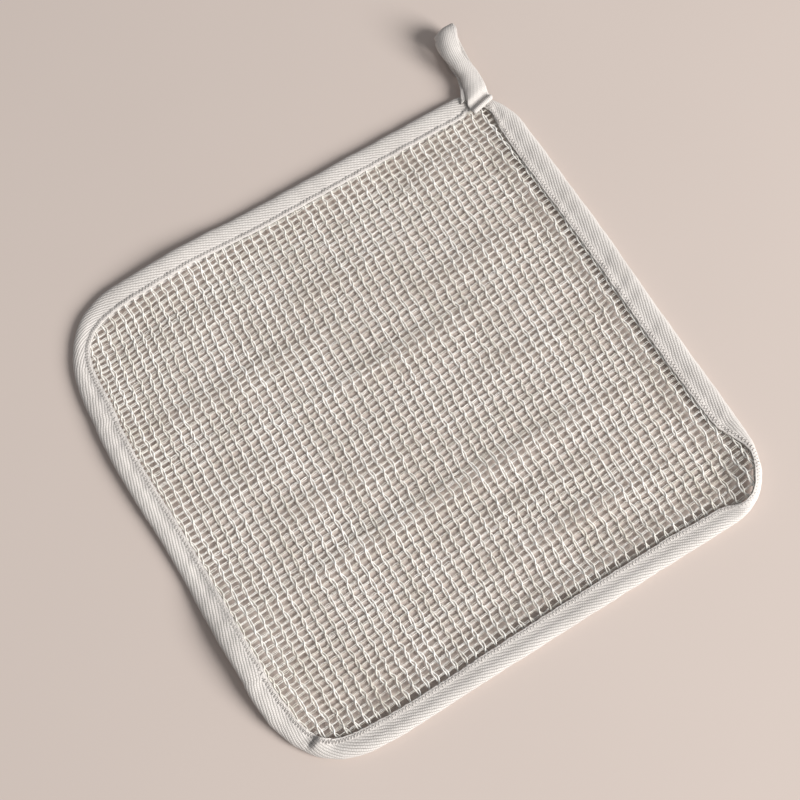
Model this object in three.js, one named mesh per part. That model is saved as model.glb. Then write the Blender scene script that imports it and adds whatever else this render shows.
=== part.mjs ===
import * as THREE from "three";

// An open-mesh washcloth that lies flat: a net of twisted yarns, bound all round with a folded twill
// tape, with a hanging loop of the same tape sewn on one corner. Sizes are in millimetres. The
// cloth lies on z = 0, X runs along its cross yarns and Y along its long yarns.

const CLOTH = { width: 255, length: 249 };
const TAPE = { cover: 10.6, thickness: 1, foldDepth: 1.2 };
const PANEL = { thickness: 1.2, tuckedShare: 0.55 };
const CLEARANCE = 0.3;
const EDGE_HEIGHT = 2 * TAPE.thickness + 2 * CLEARANCE + PANEL.thickness;
const PANEL_IN_TAPE = TAPE.thickness + CLEARANCE;

// How many steps each stretch of the edge is cut into.
const STEPS = { halfCorner: 4, crossSide: 14, longSide: 34, loop: 56 };
const RELAX_PASSES = 60;

// The sides in turn, anticlockwise: the way they run and the way they face.
const SIDES = [
  { name: "near", run: new THREE.Vector2(1, 0), out: new THREE.Vector2(0, -1), steps: STEPS.crossSide },
  { name: "right", run: new THREE.Vector2(0, 1), out: new THREE.Vector2(1, 0), steps: STEPS.longSide },
  { name: "far", run: new THREE.Vector2(-1, 0), out: new THREE.Vector2(0, 1), steps: STEPS.crossSide },
  { name: "left", run: new THREE.Vector2(0, -1), out: new THREE.Vector2(-1, 0), steps: STEPS.longSide },
];

// Corner k joins side k - 1 to side k. It starts `before` the corner point and ends `after` it, and
// a higher power makes it squarer.
const CORNERS = [
  { at: "near left", before: 52, after: 45, power: 2.5 },
  { at: "near right", before: 30, after: 38, power: 2.2 },
  { at: "far right", before: 22, after: 20, power: 2 },
  { at: "far left", before: 45, after: 60, power: 2.5 },
];

// Where a side bows out: its middle, measured along X or Y, and how far it reaches each way.
const BOWS = [
  { side: "left", middle: 35, reach: 60, out: 1 },
  { side: "right", middle: 30, reach: 70, out: 0.8 },
  { side: "far", middle: -45, reach: 40, out: 0.8 },
  { side: "near", middle: -70, reach: 40, out: 0.4 },
];

// Where the tape covers more or less of the net than it does elsewhere.
const COVERS = [
  { at: "left side", x: -128, y: 10, reach: 75, more: -0.4 },
  { at: "far left corner", x: -119, y: 105, reach: 32, more: -3 },
  { at: "far side", x: -60, y: 125, reach: 50, more: -0.5 },
  { at: "right side, far half", x: 128, y: 65, reach: 45, more: 1 },
  { at: "right side, near half", x: 127, y: -40, reach: 45, more: 0.9 },
  { at: "near right corner, right", x: 122, y: -104, reach: 18, more: -6 },
  { at: "near right corner, near", x: 111, y: -122, reach: 18, more: -5.6 },
  { at: "near left corner", x: -116, y: -113, reach: 28, more: -2.4 },
];

// Stretches of the edge that stand off the surface, and how far in the cloth rises with them.
const EDGE_LIFTS = [
  { side: "left", middle: -62, reach: 50, inward: 40, height: 3.6 },
  { side: "far", middle: -58, reach: 46, inward: 26, height: 1 },
];

// At the near right corner the edge curls up: how far its fold and the tape's inner edge rise.
const CURL = { x: 119, y: -115, reach: 28, fold: 4.6, inner: 1.6, inward: 14 };

// Low ripples in the net: the middle of each, half its length along X, half its breadth and its rise.
const RIPPLES = [
  { x: 82, y: 95, halfLength: 48, halfBreadth: 13, rise: 1.5 },
  { x: -70, y: 88, halfLength: 60, halfBreadth: 12, rise: 0.9 },
  { x: 5, y: 72, halfLength: 70, halfBreadth: 12, rise: 0.8 },
  { x: -60, y: 50, halfLength: 85, halfBreadth: 12, rise: 1.3 },
  { x: 70, y: 46, halfLength: 60, halfBreadth: 13, rise: 1.2 },
  { x: 15, y: 24, halfLength: 75, halfBreadth: 11, rise: 1.4 },
  { x: -80, y: 8, halfLength: 50, halfBreadth: 14, rise: 0.9 },
  { x: 60, y: -6, halfLength: 70, halfBreadth: 14, rise: 0.7 },
  { x: -45, y: -18, halfLength: 75, halfBreadth: 12, rise: 1.1 },
  { x: 0, y: -46, halfLength: 160, halfBreadth: 11, rise: 1.5 },
  { x: 30, y: -66, halfLength: 100, halfBreadth: 9, rise: 0.9 },
  { x: 45, y: -86, halfLength: 80, halfBreadth: 10, rise: 1.3 },
  { x: -60, y: -98, halfLength: 50, halfBreadth: 10, rise: 0.8 },
];
const RIM_FALL = 11;
const TROUGH = 0.25;
const RIPPLE_MARGIN = 16;

// The hanging loop is one folded tape, from the turned-in end on the corner, up and over the tip and
// back under itself. x, y and z follow the middle of the strap, and roll turns its face to +X.
const LOOP_SECTIONS = [
  { x: 113.7, y: 111.9, z: 5.4, width: 12.4, thickness: 2.5, roll: 0 },
  { x: 113.7, y: 113.4, z: 5.4, width: 12.6, thickness: 2.6, roll: 0 },
  { x: 113.7, y: 115.3, z: 4.9, width: 12.4, thickness: 1.5, roll: 0 },
  { x: 113.6, y: 118.2, z: 6.8, width: 12.8, thickness: 1.5, roll: 0 },
  { x: 113.5, y: 124, z: 7.1, width: 12.8, thickness: 1.5, roll: 3 },
  { x: 114, y: 130, z: 8.4, width: 11, thickness: 1.6, roll: 18 },
  { x: 114.2, y: 135.5, z: 10.2, width: 9.4, thickness: 1.8, roll: 34 },
  { x: 114.6, y: 140.5, z: 11.5, width: 9.2, thickness: 1.8, roll: 36 },
  { x: 115.6, y: 146, z: 12.6, width: 10.6, thickness: 1.6, roll: 20 },
  { x: 116.6, y: 151.5, z: 13, width: 12, thickness: 1.5, roll: 10 },
  { x: 116.9, y: 155.6, z: 11.6, width: 12, thickness: 1.5, roll: 7 },
  { x: 116.8, y: 157.2, z: 8.2, width: 11.8, thickness: 1.5, roll: 4 },
  { x: 116.4, y: 155, z: 4.6, width: 11.6, thickness: 1.5, roll: 2 },
  { x: 115.6, y: 149.5, z: 2.7, width: 11.4, thickness: 1.5, roll: 0 },
  { x: 114.4, y: 141, z: 2.2, width: 11.4, thickness: 1.5, roll: 0 },
  { x: 113.4, y: 133, z: 3, width: 11.6, thickness: 1.5, roll: 0 },
  { x: 112.8, y: 126.6, z: 4.6, width: 12, thickness: 1.5, roll: 0 },
  { x: 112.7, y: 123, z: 4.9, width: 12.2, thickness: 1.5, roll: 0 },
  { x: 112.7, y: 119.4, z: 4.9, width: 12.2, thickness: 1.5, roll: 0 },
];
const STRAP_ROUNDING = 0.3;

function smooth(t) {
  const s = THREE.MathUtils.clamp(t, 0, 1);
  return s * s * (3 - 2 * s);
}

// One at t = 0, falling smoothly to nothing at t = 1 and at t = -1.
function bump(t) {
  return 1 - smooth(Math.abs(t));
}

function alongSide(side, point) {
  return side.run.x !== 0 ? point.x : point.y;
}

function bowOut(side, point) {
  const here = alongSide(side, point);
  const own = BOWS.filter((bow) => bow.side === side.name);
  return own.reduce((sum, bow) => sum + bow.out * bump((here - bow.middle) / bow.reach), 0);
}

function cornerPoint(k) {
  const half = new THREE.Vector2(CLOTH.width / 2, CLOTH.length / 2);
  return SIDES[(k + 3) % 4].out.clone().add(SIDES[k].out).multiply(half);
}

// A point of corner k's curve, from angle 0 where it leaves the side before to a right angle.
function cornerCurve(k, angle) {
  const corner = CORNERS[k];
  const shape = 2 / corner.power;
  const back = corner.before * (1 - Math.pow(Math.sin(angle), shape));
  const on = corner.after * (1 - Math.pow(Math.cos(angle), shape));
  return cornerPoint(k)
    .addScaledVector(SIDES[(k + 3) % 4].run, -back)
    .addScaledVector(SIDES[k].run, on);
}

// The stations of one side, from the middle of its first corner to just short of the next middle.
function sideStations(side, k) {
  const next = (k + 1) % 4;
  const stations = [];
  for (let i = 0; i < STEPS.halfCorner; i++) {
    stations.push(cornerCurve(k, (Math.PI / 4) * (1 + i / STEPS.halfCorner)));
  }
  const start = cornerPoint(k).addScaledVector(side.run, CORNERS[k].after);
  const end = cornerPoint(next).addScaledVector(side.run, -CORNERS[next].before);
  for (let i = 0; i <= side.steps; i++) {
    const point = start.clone().lerp(end, i / side.steps);
    stations.push(point.addScaledVector(side.out, bowOut(side, point)));
  }
  for (let i = 1; i < STEPS.halfCorner; i++) {
    stations.push(cornerCurve(next, ((Math.PI / 4) * i) / STEPS.halfCorner));
  }
  return stations;
}

// The unit vector that points into the cloth at each station of an anticlockwise outline.
function inwardNormals(outline) {
  const count = outline.length;
  return outline.map((point, i) => {
    const along = outline[(i + 1) % count].clone().sub(outline[(i + count - 1) % count]);
    return new THREE.Vector2(-along.y, along.x).normalize();
  });
}

function coverAt(point) {
  return COVERS.reduce((sum, row) => {
    const away = Math.hypot(point.x - row.x, point.y - row.y);
    return sum + row.more * bump(away / row.reach);
  }, TAPE.cover);
}

// How far a point lies inside an outline, measured to its nearest edge.
function depthInside(outline, point) {
  let nearest = Infinity;
  outline.forEach((start, i) => {
    const edge = outline[(i + 1) % outline.length].clone().sub(start);
    const away = point.clone().sub(start);
    const share = THREE.MathUtils.clamp(away.dot(edge) / edge.lengthSq(), 0, 1);
    nearest = Math.min(nearest, away.addScaledVector(edge, -share).length());
  });
  return nearest;
}

function edgeLift(point) {
  return EDGE_LIFTS.reduce((sum, lift) => {
    const side = SIDES.find((one) => one.name === lift.side);
    const half = side.run.x !== 0 ? CLOTH.length / 2 : CLOTH.width / 2;
    const inward = Math.max(0, half - side.out.dot(point));
    const share = bump((alongSide(side, point) - lift.middle) / lift.reach);
    return sum + lift.height * share * bump(inward / lift.inward);
  }, 0);
}

// How much of the curl is there at a point, from nothing to one.
function curlShare(point) {
  return bump(Math.hypot(point.x - CURL.x, point.y - CURL.y) / CURL.reach);
}

// The underside of the net inside the tape's inner edge. The lowest troughs lie flat.
function netRest(point) {
  const depth = depthInside(innerEdge, point);
  const rim = PANEL_IN_TAPE * bump(depth / RIM_FALL);
  const curl = CURL.inner * curlShare(point) * bump(depth / CURL.inward);
  const ripples = RIPPLES.reduce((sum, ripple) => {
    const along = bump((point.x - ripple.x) / ripple.halfLength);
    return sum + ripple.rise * along * bump((point.y - ripple.y) / ripple.halfBreadth);
  }, 0);
  const rise = Math.max(0, ripples - TROUGH) * smooth(depth / RIPPLE_MARGIN);
  return rim + curl + edgeLift(point) + rise;
}

function geometryOf(vertices, triangles) {
  const geometry = new THREE.BufferGeometry();
  const positions = vertices.flatMap((v) => [v.x, v.y, v.z]);
  geometry.setAttribute("position", new THREE.Float32BufferAttribute(positions, 3));
  geometry.setIndex(triangles.flat());
  geometry.computeVertexNormals();
  return geometry;
}

// The two triangles of a quad whose corners run anticlockwise seen from outside.
function quad(a, b, c, d) {
  return [
    [a, b, c],
    [a, c, d],
  ];
}

// A closed solid through rings of like points. A loose end is capped with a fan.
function loft(rings, closed) {
  const size = rings[0].length;
  const triangles = [];
  const last = closed ? rings.length : rings.length - 1;
  for (let i = 0; i < last; i++) {
    const here = i * size;
    const there = ((i + 1) % rings.length) * size;
    for (let j = 0; j < size; j++) {
      const next = (j + 1) % size;
      triangles.push(...quad(here + j, there + j, there + next, here + next));
    }
  }
  if (!closed) {
    const end = (rings.length - 1) * size;
    for (let j = 1; j < size - 1; j++) {
      triangles.push([0, j, j + 1], [end, end + j + 1, end + j]);
    }
  }
  return geometryOf(rings.flat(), triangles);
}

const outerEdge = SIDES.flatMap(sideStations);
const inward = inwardNormals(outerEdge);
const innerEdge = outerEdge.map((point, i) => point.clone().addScaledVector(inward[i], coverAt(point)));

// A point of the edge at station i, at a share of the tape's breadth and a height in its section.
function edgePoint(i, share, height) {
  const point = outerEdge[i].clone().lerp(innerEdge[i], share);
  const curl = THREE.MathUtils.lerp(CURL.fold, CURL.inner, share) * curlShare(outerEdge[i]);
  return new THREE.Vector3(point.x, point.y, height + edgeLift(point) + curl);
}

// The share of the tape's breadth that a depth from the fold is at station i.
function depthShare(i, depth) {
  return depth / outerEdge[i].distanceTo(innerEdge[i]);
}

// The folded tape's section: round the slot that holds the net, then back below, round the fold and
// over the top.
function tapeSection(i) {
  const top = EDGE_HEIGHT;
  const skin = TAPE.thickness;
  const fold = depthShare(i, TAPE.foldDepth);
  const tucked = 1 - PANEL.tuckedShare;
  return [
    edgePoint(i, 1, top - skin),
    edgePoint(i, tucked, top - skin),
    edgePoint(i, 1.35 * fold, top - skin),
    edgePoint(i, 0.9 * fold, 0.5 * top),
    edgePoint(i, 1.35 * fold, skin),
    edgePoint(i, tucked, skin),
    edgePoint(i, 1, skin),
    edgePoint(i, 1, 0),
    edgePoint(i, fold, 0),
    edgePoint(i, 0.3 * fold, 0.16 * top),
    edgePoint(i, 0, 0.5 * top),
    edgePoint(i, 0.3 * fold, 0.84 * top),
    edgePoint(i, fold, top),
    edgePoint(i, 1, top),
  ];
}

function bindingGeometry() {
  return loft(outerEdge.map((point, i) => tapeSection(i)), true);
}

// The share of its length that a row of points has covered at each of them.
function shares(row) {
  const gone = [0];
  for (let i = 1; i < row.length; i++) {
    gone.push(gone[i - 1] + row[i].distanceTo(row[i - 1]));
  }
  return gone.map((length) => length / gone[gone.length - 1]);
}

// Draws each inner point of a grid to the middle of its four neighbours, over and over.
function relax(points) {
  for (let pass = 0; pass < RELAX_PASSES; pass++) {
    for (let j = 1; j < points.length - 1; j++) {
      for (let i = 1; i < points[j].length - 1; i++) {
        const sum = points[j][i - 1].clone().add(points[j][i + 1]);
        points[j][i] = sum.add(points[j - 1][i]).add(points[j + 1][i]).multiplyScalar(0.25);
      }
    }
  }
}

// A grid of points inside the tape's inner edge whose border is that edge.
function netGrid() {
  const across = 2 * STEPS.halfCorner + STEPS.crossSide;
  const up = 2 * STEPS.halfCorner + STEPS.longSide;
  const count = innerEdge.length;
  const near = innerEdge.slice(0, across + 1);
  const right = innerEdge.slice(across, across + up + 1);
  const far = innerEdge.slice(across + up, 2 * across + up + 1).reverse();
  const left = [...innerEdge.slice(2 * across + up), innerEdge[0]].reverse();
  const us = shares(near).map((share, i) => (share + shares(far)[i]) / 2);
  const vs = shares(left).map((share, j) => (share + shares(right)[j]) / 2);
  const station = (i, j) => {
    if (j === 0) return i;
    if (i === across) return across + j;
    if (j === up) return across + up + (across - i);
    return i === 0 ? (count - j) % count : -1;
  };
  const points = vs.map((v, j) =>
    us.map((u, i) => {
      const sides = near[i].clone().lerp(far[i], v).add(left[j].clone().lerp(right[j], u));
      const corners = near[0].clone().lerp(near[across], u).lerp(far[0].clone().lerp(far[across], u), v);
      return sides.sub(corners);
    }),
  );
  relax(points);
  return { across, up, station, points };
}

// The net as one sheet: its grid, and a band that runs into the tape's slot.
function netGeometry() {
  const { across, up, station, points } = netGrid();
  const count = innerEdge.length;
  const under = [];
  const at = [];
  for (let i = 0; i < count; i++) {
    under.push(edgePoint(i, 1, PANEL_IN_TAPE));
  }
  for (let i = 0; i < count; i++) {
    under.push(edgePoint(i, 1 - PANEL.tuckedShare, PANEL_IN_TAPE));
  }
  for (let j = 0; j <= up; j++) {
    at.push([]);
    for (let i = 0; i <= across; i++) {
      const border = station(i, j);
      at[j].push(border < 0 ? under.length : border);
      if (border < 0) {
        const point = points[j][i];
        under.push(new THREE.Vector3(point.x, point.y, netRest(point)));
      }
    }
  }
  const faces = [];
  for (let j = 0; j < up; j++) {
    for (let i = 0; i < across; i++) {
      const corners = [at[j][i], at[j][i + 1], at[j + 1][i + 1], at[j + 1][i]];
      const turned = (i === across - 1 && j === 0) || (i === 0 && j === up - 1);
      faces.push(...quad(...(turned ? [...corners.slice(1), corners[0]] : corners)));
    }
  }
  const size = under.length;
  const over = under.map((p) => new THREE.Vector3(p.x, p.y, p.z + PANEL.thickness));
  const upper = [...faces];
  const lower = [...faces];
  const rim = [];
  for (let i = 0; i < count; i++) {
    const next = (i + 1) % count;
    const outer = count + i;
    const outerNext = count + next;
    upper.push(...quad(outerNext, next, i, outer));
    lower.push(...quad(outer, outerNext, next, i));
    rim.push(...quad(outer, outerNext, outerNext + size, outer + size));
  }
  const upperSide = upper.map(([a, b, c]) => [a + size, b + size, c + size]);
  const underside = lower.map(([a, b, c]) => [a, c, b]);
  return geometryOf([...under, ...over], [...upperSide, ...underside, ...rim]);
}

// The strap's section: a flat band with its four long edges taken off.
function strapSection(centre, along, width, thickness, roll) {
  const across = new THREE.Vector3(1, 0, 0).applyAxisAngle(along, THREE.MathUtils.degToRad(roll));
  const face = new THREE.Vector3().crossVectors(across, along).normalize();
  const w = width / 2;
  const t = thickness / 2;
  const r = STRAP_ROUNDING;
  const outline = [
    [w, t - r],
    [w - 2 * r, t],
    [2 * r - w, t],
    [-w, t - r],
    [-w, r - t],
    [2 * r - w, -t],
    [w - 2 * r, -t],
    [w, r - t],
  ];
  return outline.map(([a, b]) => centre.clone().addScaledVector(across, a).addScaledVector(face, b));
}

function loopGeometry() {
  const path = new THREE.CatmullRomCurve3(
    LOOP_SECTIONS.map((row) => new THREE.Vector3(row.x, row.y, row.z)),
    false,
    "centripetal",
  );
  const rings = [];
  for (let i = 0; i <= STEPS.loop; i++) {
    const t = i / STEPS.loop;
    const place = t * (LOOP_SECTIONS.length - 1);
    const low = Math.min(Math.floor(place), LOOP_SECTIONS.length - 2);
    const between = (name) =>
      THREE.MathUtils.lerp(LOOP_SECTIONS[low][name], LOOP_SECTIONS[low + 1][name], place - low);
    const along = path.getTangent(t);
    along.x = 0;
    along.normalize();
    const centre = path.getPoint(t);
    rings.push(strapSection(centre, along, between("width"), between("thickness"), between("roll")));
  }
  return loft(rings, false);
}

function mesh(name, geometry, color, roughness) {
  const material = new THREE.MeshStandardMaterial({ color, roughness, metalness: 0 });
  const made = new THREE.Mesh(geometry, material);
  made.name = name;
  return made;
}

const washcloth = new THREE.Group();
washcloth.add(
  mesh("mesh_panel", netGeometry(), 0xebe4d7, 0.9),
  mesh("binding", bindingGeometry(), 0xe6dcd4, 0.85),
  mesh("hanging_loop", loopGeometry(), 0xe6dcd4, 0.85),
);

// The origin is the middle of the whole footprint, on the surface.
const footprint = new THREE.Box3().setFromObject(washcloth);
const middle = footprint.getCenter(new THREE.Vector3());
washcloth.position.set(-middle.x, -middle.y, -footprint.min.z);

export default washcloth;
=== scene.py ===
"""Looks of the open-mesh washcloth: a twisted-yarn net, its folded twill tape and its hanging loop."""

import logging
import math
from dataclasses import dataclass, field
from enum import Enum
from functools import cache

import bpy
import numpy as np
from bpy.types import Material, Node, NodeSocket, NodeTree, Object
from mathutils import Matrix, Vector


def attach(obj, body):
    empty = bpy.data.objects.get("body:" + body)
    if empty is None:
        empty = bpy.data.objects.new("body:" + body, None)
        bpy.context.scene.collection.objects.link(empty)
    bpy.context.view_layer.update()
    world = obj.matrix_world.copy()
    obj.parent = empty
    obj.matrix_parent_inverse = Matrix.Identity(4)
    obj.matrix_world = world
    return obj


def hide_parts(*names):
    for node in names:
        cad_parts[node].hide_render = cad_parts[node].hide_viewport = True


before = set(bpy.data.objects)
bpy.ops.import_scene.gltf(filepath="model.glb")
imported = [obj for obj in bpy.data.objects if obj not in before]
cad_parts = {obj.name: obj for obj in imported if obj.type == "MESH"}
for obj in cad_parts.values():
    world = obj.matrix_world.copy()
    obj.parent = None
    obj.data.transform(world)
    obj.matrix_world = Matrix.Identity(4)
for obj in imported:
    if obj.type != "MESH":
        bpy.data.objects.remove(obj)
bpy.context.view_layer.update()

log = logging.getLogger("washcloth")

Array = np.ndarray
Color = tuple[float, float, float, float]
MM = 0.001
KNOTS = 2048  # random knots in a wandering line
FIELD = 256  # random knots along each side of a wandering field
FIELD_START = 100  # the knot that a field's middle lies at
CHUNK = 4000  # points that are measured against the outline at a time
# The record's frame has its origin under the middle of the whole footprint; the sizes below are measured
# from the middle of the cloth without its loop.
CLOTH_MIDDLE = np.array([0.0993, -16.7187, 0.0])


class Side(Enum):
    """The cloth's four sides, each with the way it runs and the way it faces."""

    NEAR = ((1, 0), (0, -1))
    RIGHT = ((0, 1), (1, 0))
    FAR = ((-1, 0), (0, 1))
    LEFT = ((0, -1), (-1, 0))

    @property
    def run(self) -> Array:
        """The unit vector along the side."""
        return np.array(self.value[0], float)

    @property
    def out(self) -> Array:
        """The unit vector that points out of the cloth."""
        return np.array(self.value[1], float)


@dataclass(frozen=True)
class Corner:
    """One rounded corner: how far before and after the corner point it reaches, and how square it is."""

    before: float
    after: float
    power: float


@dataclass(frozen=True)
class Bow:
    """A stretch of a side that bows out, in mm."""

    side: Side
    middle: float
    reach: float
    out: float


@dataclass(frozen=True)
class Spot:
    """A round area with an amount that fades from its middle, in mm."""

    x: float
    y: float
    reach: float
    amount: float


@dataclass(frozen=True)
class Lift:
    """A stretch of the edge that stands off the surface, in mm."""

    side: Side
    middle: float
    reach: float
    inward: float
    height: float


@dataclass(frozen=True)
class Ripple:
    """A low ripple that runs along the cross yarns, in mm."""

    x: float
    y: float
    half_length: float
    half_breadth: float
    rise: float


@dataclass(frozen=True)
class Pull:
    """An area where the weave is drawn aside, in mm."""

    x: float
    y: float
    reach_x: float
    reach_y: float
    shift_x: float
    shift_y: float


@dataclass(frozen=True)
class StrapRow:
    """A section of the hanging loop's strap, in mm and degrees."""

    x: float
    y: float
    z: float
    width: float
    thickness: float
    roll: float
    yaw: float = 0.0
    flank: float = 0.0


def smooth(t: Array | float) -> Array:
    """A smooth step from 0 at t = 0 to 1 at t = 1."""
    s = np.clip(t, 0.0, 1.0)
    return s * s * (3 - 2 * s)


def bump(t: Array | float) -> Array:
    """One at t = 0, falling smoothly to nothing at t = 1 and t = -1."""
    return 1 - smooth(np.abs(t))


def unit(rows: Array) -> Array:
    """The rows, each at length one."""
    return rows / np.linalg.norm(rows, axis=1, keepdims=True)


def gone_along(line: Array) -> Array:
    """The length gone at each point of a line."""
    return np.concatenate([[0], np.cumsum(np.linalg.norm(np.diff(line, axis=0), axis=1))])


def wander(at: Array, seed: int, step: float) -> Array:
    """A smooth random line between -1 and 1.

    Args:
        at: where the values are read.
        seed: picks the line.
        step: the distance between its random knots.

    Returns:
        The value at each place.
    """
    knots = np.random.default_rng(seed).uniform(-1, 1, KNOTS)
    place = np.asarray(at, float) / step + KNOTS // 4
    low = np.floor(place).astype(int)
    share = smooth(place - low)
    return knots[low % KNOTS] * (1 - share) + knots[(low + 1) % KNOTS] * share


def wander_2d(x: Array, y: Array, seed: int, step: float) -> Array:
    """A smooth random field between -1 and 1.

    Args:
        x: places along X.
        y: places along Y.
        seed: picks the field.
        step: the distance between its random knots.

    Returns:
        The value at each place.
    """
    knots = np.random.default_rng(seed).uniform(-1, 1, (FIELD, FIELD))
    px, py = (np.asarray(v, float) / step + FIELD_START for v in (x, y))
    ix, iy = np.floor(px).astype(int), np.floor(py).astype(int)
    sx, sy = smooth(px - ix), smooth(py - iy)

    def row(j: Array) -> Array:
        """The field along the row of knots j."""
        return knots[ix % FIELD, j % FIELD] * (1 - sx) + knots[(ix + 1) % FIELD, j % FIELD] * sx

    return row(iy) * (1 - sy) + row(iy + 1) * sy


@dataclass
class ClothShape:
    """The outline of the cloth and the height it lies at, in mm from the middle of the cloth."""

    width: float = 253.8
    length: float = 248.4
    middle: tuple[float, float] = (-0.6, -0.4)
    cover: float = 11.0
    cover_slope: float = 0.5
    skin: float = 1.0
    net_thickness: float = 1.2
    clearance: float = 0.3
    rim_fall: float = 16
    puff: float = 0.4
    puff_breadth: float = 4.5
    trough: float = 0.25
    ripple_margin: float = 16
    station_gap: float = 1.2
    first_station: tuple[float, float] = (118, 124)
    every: int = 3
    corners: tuple[Corner, ...] = (
        Corner(52, 45, 2.5),
        Corner(30, 38, 2.2),
        Corner(30, 24, 1.9),
        Corner(45, 60, 2.5),
    )
    bows: tuple[Bow, ...] = (
        Bow(Side.LEFT, 42, 48, 1.5),
        Bow(Side.LEFT, -82, 26, -0.8),
        Bow(Side.RIGHT, 30, 70, 0.8),
        Bow(Side.FAR, -45, 40, 0.8),
        Bow(Side.NEAR, -70, 40, 0.4),
    )
    covers: tuple[Spot, ...] = (
        Spot(-128, 10, 75, -0.4),
        Spot(-119, 105, 32, -3),
        Spot(-60, 125, 50, -0.5),
        Spot(128, 68, 62, 1.3),
        Spot(128, 10, 62, 1.3),
        Spot(127, -50, 62, 1.4),
        Spot(123, -104, 24, -7.6),
        Spot(112, -123, 20, -6.8),
        Spot(90, -124, 26, -1.2),
        Spot(-116, -113, 28, -2.4),
        Spot(-50, -125, 50, -0.5),
        Spot(119.5, 116.5, 20, -5.8),
    )
    flat_part: Spot = Spot(-127, -65, 60, 0.9)
    lifts: tuple[Lift, ...] = (
        Lift(Side.LEFT, -62, 50, 40, 4.9),
        Lift(Side.LEFT, 40, 70, 24, 1.4),
        Lift(Side.FAR, -58, 46, 26, 2.2),
        Lift(Side.FAR, 30, 110, 22, 0.9),
    )
    curl: Spot = Spot(119, -115, 28, 1.0)
    curl_fold: float = 1.6
    curl_inner: float = 2.7
    curl_inward: float = 14
    ripples: tuple[Ripple, ...] = (
        Ripple(82, 95, 48, 13, 1.5),
        Ripple(-70, 88, 60, 12, 0.9),
        Ripple(5, 72, 70, 12, 0.8),
        Ripple(-60, 50, 85, 12, 1.3),
        Ripple(70, 46, 60, 13, 1.2),
        Ripple(15, 24, 75, 11, 1.4),
        Ripple(-80, 8, 50, 14, 0.9),
        Ripple(60, -6, 70, 14, 0.7),
        Ripple(-45, -18, 75, 12, 1.1),
        Ripple(0, -46, 160, 11, 1.5),
        Ripple(30, -66, 100, 9, 0.9),
        Ripple(45, -86, 80, 10, 1.3),
        Ripple(-60, -98, 50, 10, 0.8),
    )
    outer: Array = field(init=False)
    inward: Array = field(init=False)
    covered: Array = field(init=False)
    inner: Array = field(init=False)
    gone: Array = field(init=False)

    def __post_init__(self) -> None:
        """Works out the outline, the tape's inner edge and the length gone at each station."""
        outline = self._resampled(self._coarse_outline())
        start = int(np.hypot(*(outline - self.first_station).T).argmin())
        self.outer = np.roll(outline, -start, axis=0)
        along = unit(np.roll(self.outer, -1, axis=0) - np.roll(self.outer, 1, axis=0))
        self.inward = np.stack([-along[:, 1], along[:, 0]], 1)
        self.covered = self.cover_at(self.outer)
        self.inner = self.outer + self.inward * self.covered[:, None]
        self.gone = gone_along(np.vstack([self.outer, self.outer[:1]]))

    @property
    def edge_height(self) -> float:
        """The height of the folded tape with the net in it."""
        return 2 * self.skin + 2 * self.clearance + self.net_thickness

    def facing(self, side: Side) -> Array:
        """How far each station of the outline faces a side, from 0 to 1."""
        return np.clip(-self.inward @ side.out, 0, 1)

    def _corner_point(self, k: int) -> Array:
        """The square corner that corner k rounds off."""
        way = list(Side)[k - 1].out + list(Side)[k].out
        return way * np.array([self.width, self.length]) / 2 + np.array(self.middle)

    def _coarse_outline(self) -> Array:
        """Draws the outline corner by corner and side by side, anticlockwise.

        Returns:
            Its points, unevenly spaced.
        """
        sides = list(Side)
        points: list[Array] = []
        for k, side in enumerate(sides):
            corner, after = self.corners[k], self.corners[(k + 1) % 4]
            before = sides[k - 1]
            for angle in np.linspace(0, math.pi / 2, 40)[:-1]:
                shape = 2 / corner.power
                back = corner.before * (1 - math.sin(angle) ** shape)
                on = corner.after * (1 - math.cos(angle) ** shape)
                points.append(self._corner_point(k) - before.run * back + side.run * on)
            start = self._corner_point(k) + side.run * corner.after
            end = self._corner_point((k + 1) % 4) - side.run * after.before
            for share in np.linspace(0, 1, 80)[:-1]:
                point = start + (end - start) * share
                here = float(point @ np.abs(side.run))
                near = [bow for bow in self.bows if bow.side is side]
                out = sum(bow.out * float(bump((here - bow.middle) / bow.reach)) for bow in near)
                points.append(point + side.out * out)
        return np.array(points)

    def _resampled(self, outline: Array) -> Array:
        """Goes round the closed outline at even steps.

        Args:
            outline: its points.

        Returns:
            The evenly spaced points.
        """
        closed = np.vstack([outline, outline[:1]])
        gone = gone_along(closed)
        count = int(round(gone[-1] / self.station_gap))
        at = np.linspace(0, gone[-1], count, endpoint=False)
        return np.stack([np.interp(at, gone, closed[:, i]) for i in range(2)], 1)

    def cover_at(self, points: Array) -> Array:
        """How far in the tape reaches.

        Args:
            points: places on the outline.

        Returns:
            The tape's visible breadth at each.
        """
        total = self.cover + self.cover_slope * points[:, 1] / (self.length / 2)
        for spot in self.covers:
            away = np.hypot(points[:, 0] - spot.x, points[:, 1] - spot.y)
            total += spot.amount * bump(away / spot.reach)
        return total

    def lift_at(self, points: Array) -> Array:
        """How far the cloth is lifted with its edge.

        Args:
            points: places on the cloth.

        Returns:
            The height at each.
        """
        total = np.zeros(len(points))
        for lift in self.lifts:
            half = self.length / 2 if lift.side.run[0] else self.width / 2
            inward = np.maximum(0, half - points @ lift.side.out)
            share = bump((points @ np.abs(lift.side.run) - lift.middle) / lift.reach)
            total += lift.height * share * bump(inward / lift.inward)
        return total

    def curl_at(self, points: Array) -> Array:
        """How much of the corner's curl is there at each point, from 0 to 1."""
        away = np.hypot(points[:, 0] - self.curl.x, points[:, 1] - self.curl.y)
        return bump(away / self.curl.reach)

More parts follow.
